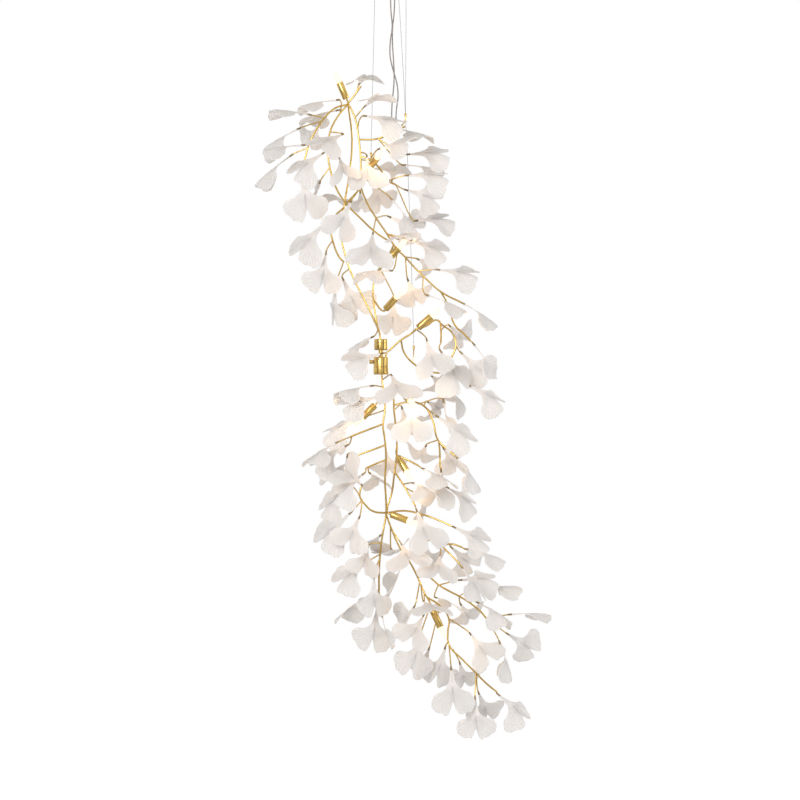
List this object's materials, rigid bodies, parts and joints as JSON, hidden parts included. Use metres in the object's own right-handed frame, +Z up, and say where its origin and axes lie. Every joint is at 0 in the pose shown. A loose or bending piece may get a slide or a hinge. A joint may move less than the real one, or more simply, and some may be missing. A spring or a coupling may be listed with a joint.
{
  "type": "branch chandelier",
  "caption": "Tall hanging chandelier: forked brass twigs in stacked sections carry cleft white porcelain leaves and capsule lamps, hung on wires from a canopy.",
  "frame": {"origin": "middle of the ceiling strap's back face, on the ceiling plane", "axes": "+Z up, the front as pictured faces -Y, +X to the right seen from the front"},
  "size_m": [0.7449, 0.3327, 1.8979],
  "materials": {
    "leaf_porcelain": "unglazed white porcelain, matte",
    "branch_brass": "satin",
    "fitting_brass": "polished",
    "canopy_brass": "satin",
    "bulb_glass": "frosted, lit warm white",
    "socket_ceramic": "matte",
    "fixing_steel": "brushed",
    "wire_steel": "brushed",
    "cable_plastic": "gloss, clear"
  },
  "bodies": {
    "fixture": {"arm_leaves": "leaf_porcelain", "canopy_screws": "fixing_steel", "ceiling_canopy": "canopy_brass", "ceiling_strap": "fixing_steel", "crown_leaves": "leaf_porcelain", "drop_leaves": "leaf_porcelain", "gland_set": "fitting_brass", "gripper_set": "fitting_brass", "knee_left_leaves": "leaf_porcelain", "knee_right_leaves": "leaf_porcelain", "lamp_holder_a": "branch_brass", "lamp_holder_b": "branch_brass", "lamp_holder_c": "branch_brass", "lamp_holder_d": "branch_brass", "lamp_holder_e": "branch_brass", "lamp_holder_f": "branch_brass", "lamp_holder_g": "branch_brass", "lamp_holder_h": "branch_brass", "lamp_holder_i": "branch_brass", "lamp_holder_j": "branch_brass", "lamp_sockets": "socket_ceramic", "lower_branch": "branch_brass", "lower_coupling": "branch_brass", "neck_branch": "branch_brass", "neck_leaves": "leaf_porcelain", "power_cable_left": "cable_plastic", "power_cable_right": "cable_plastic", "shoulder_left_leaves": "leaf_porcelain", "shoulder_right_leaves": "leaf_porcelain", "sleeve_set": "fitting_brass", "stop_set": "fitting_brass", "suspension_wire_left": "wire_steel", "suspension_wire_middle": "wire_steel", "suspension_wire_right": "wire_steel", "tail_left_leaves": "leaf_porcelain", "tail_right_leaves": "leaf_porcelain", "tip_leaves": "leaf_porcelain", "upper_branch": "branch_brass", "upper_coupling": "branch_brass", "upper_left_leaves": "leaf_porcelain", "upper_middle_leaves": "leaf_porcelain", "upper_right_leaves": "leaf_porcelain", "waist_left_leaves": "leaf_porcelain", "waist_right_leaves": "leaf_porcelain"},
    "bulb_a_body": {"bulb_a": "bulb_glass"},
    "bulb_b_body": {"bulb_b": "bulb_glass"},
    "bulb_c_body": {"bulb_c": "bulb_glass"},
    "bulb_d_body": {"bulb_d": "bulb_glass"},
    "bulb_e_body": {"bulb_e": "bulb_glass"},
    "bulb_f_body": {"bulb_f": "bulb_glass"},
    "bulb_g_body": {"bulb_g": "bulb_glass"},
    "bulb_h_body": {"bulb_h": "bulb_glass"},
    "bulb_i_body": {"bulb_i": "bulb_glass"},
    "bulb_j_body": {"bulb_j": "bulb_glass"},
    "thumb_screw_body": {"thumb_screw": "branch_brass"}
  },
  "joints": [
    {"name": "bulb_a_pull", "type": "slide", "parent": "fixture", "child": "bulb_a_body", "axis": [-0.3947, -0.1214, 0.9108], "range_m": [0, 0.015]},
    {"name": "bulb_b_pull", "type": "slide", "parent": "fixture", "child": "bulb_b_body", "axis": [0.3579, -0.8352, 0.4176], "range_m": [0, 0.015]},
    {"name": "bulb_c_pull", "type": "slide", "parent": "fixture", "child": "bulb_c_body", "axis": [0.6498, -0.0542, 0.7581], "range_m": [0, 0.015]},
    {"name": "bulb_d_pull", "type": "slide", "parent": "fixture", "child": "bulb_d_body", "axis": [0.5754, -0.5179, 0.633], "range_m": [0, 0.015]},
    {"name": "bulb_e_pull", "type": "slide", "parent": "fixture", "child": "bulb_e_body", "axis": [0.7548, -0.1078, 0.647], "range_m": [0, 0.015]},
    {"name": "bulb_f_pull", "type": "slide", "parent": "fixture", "child": "bulb_f_body", "axis": [-0.703, -0.1081, -0.703], "range_m": [0, 0.015]},
    {"name": "bulb_g_pull", "type": "slide", "parent": "fixture", "child": "bulb_g_body", "axis": [0.3408, -0.8519, -0.3976], "range_m": [0, 0.015]},
    {"name": "bulb_h_pull", "type": "slide", "parent": "fixture", "child": "bulb_h_body", "axis": [0.4764, -0.4168, -0.7741], "range_m": [0, 0.015]},
    {"name": "bulb_i_pull", "type": "slide", "parent": "fixture", "child": "bulb_i_body", "axis": [0.9222, -0.1729, -0.3458], "range_m": [0, 0.015]},
    {"name": "bulb_j_pull", "type": "slide", "parent": "fixture", "child": "bulb_j_body", "axis": [0.4234, -0.1059, -0.8997], "range_m": [0, 0.015]},
    {"name": "thumb_screw_turn", "type": "hinge", "parent": "fixture", "child": "thumb_screw_body", "pos_m": [-0.0468, 0, -0.9545], "axis": [-1, 0, 0], "range_deg": [0, 720]}
  ]
}
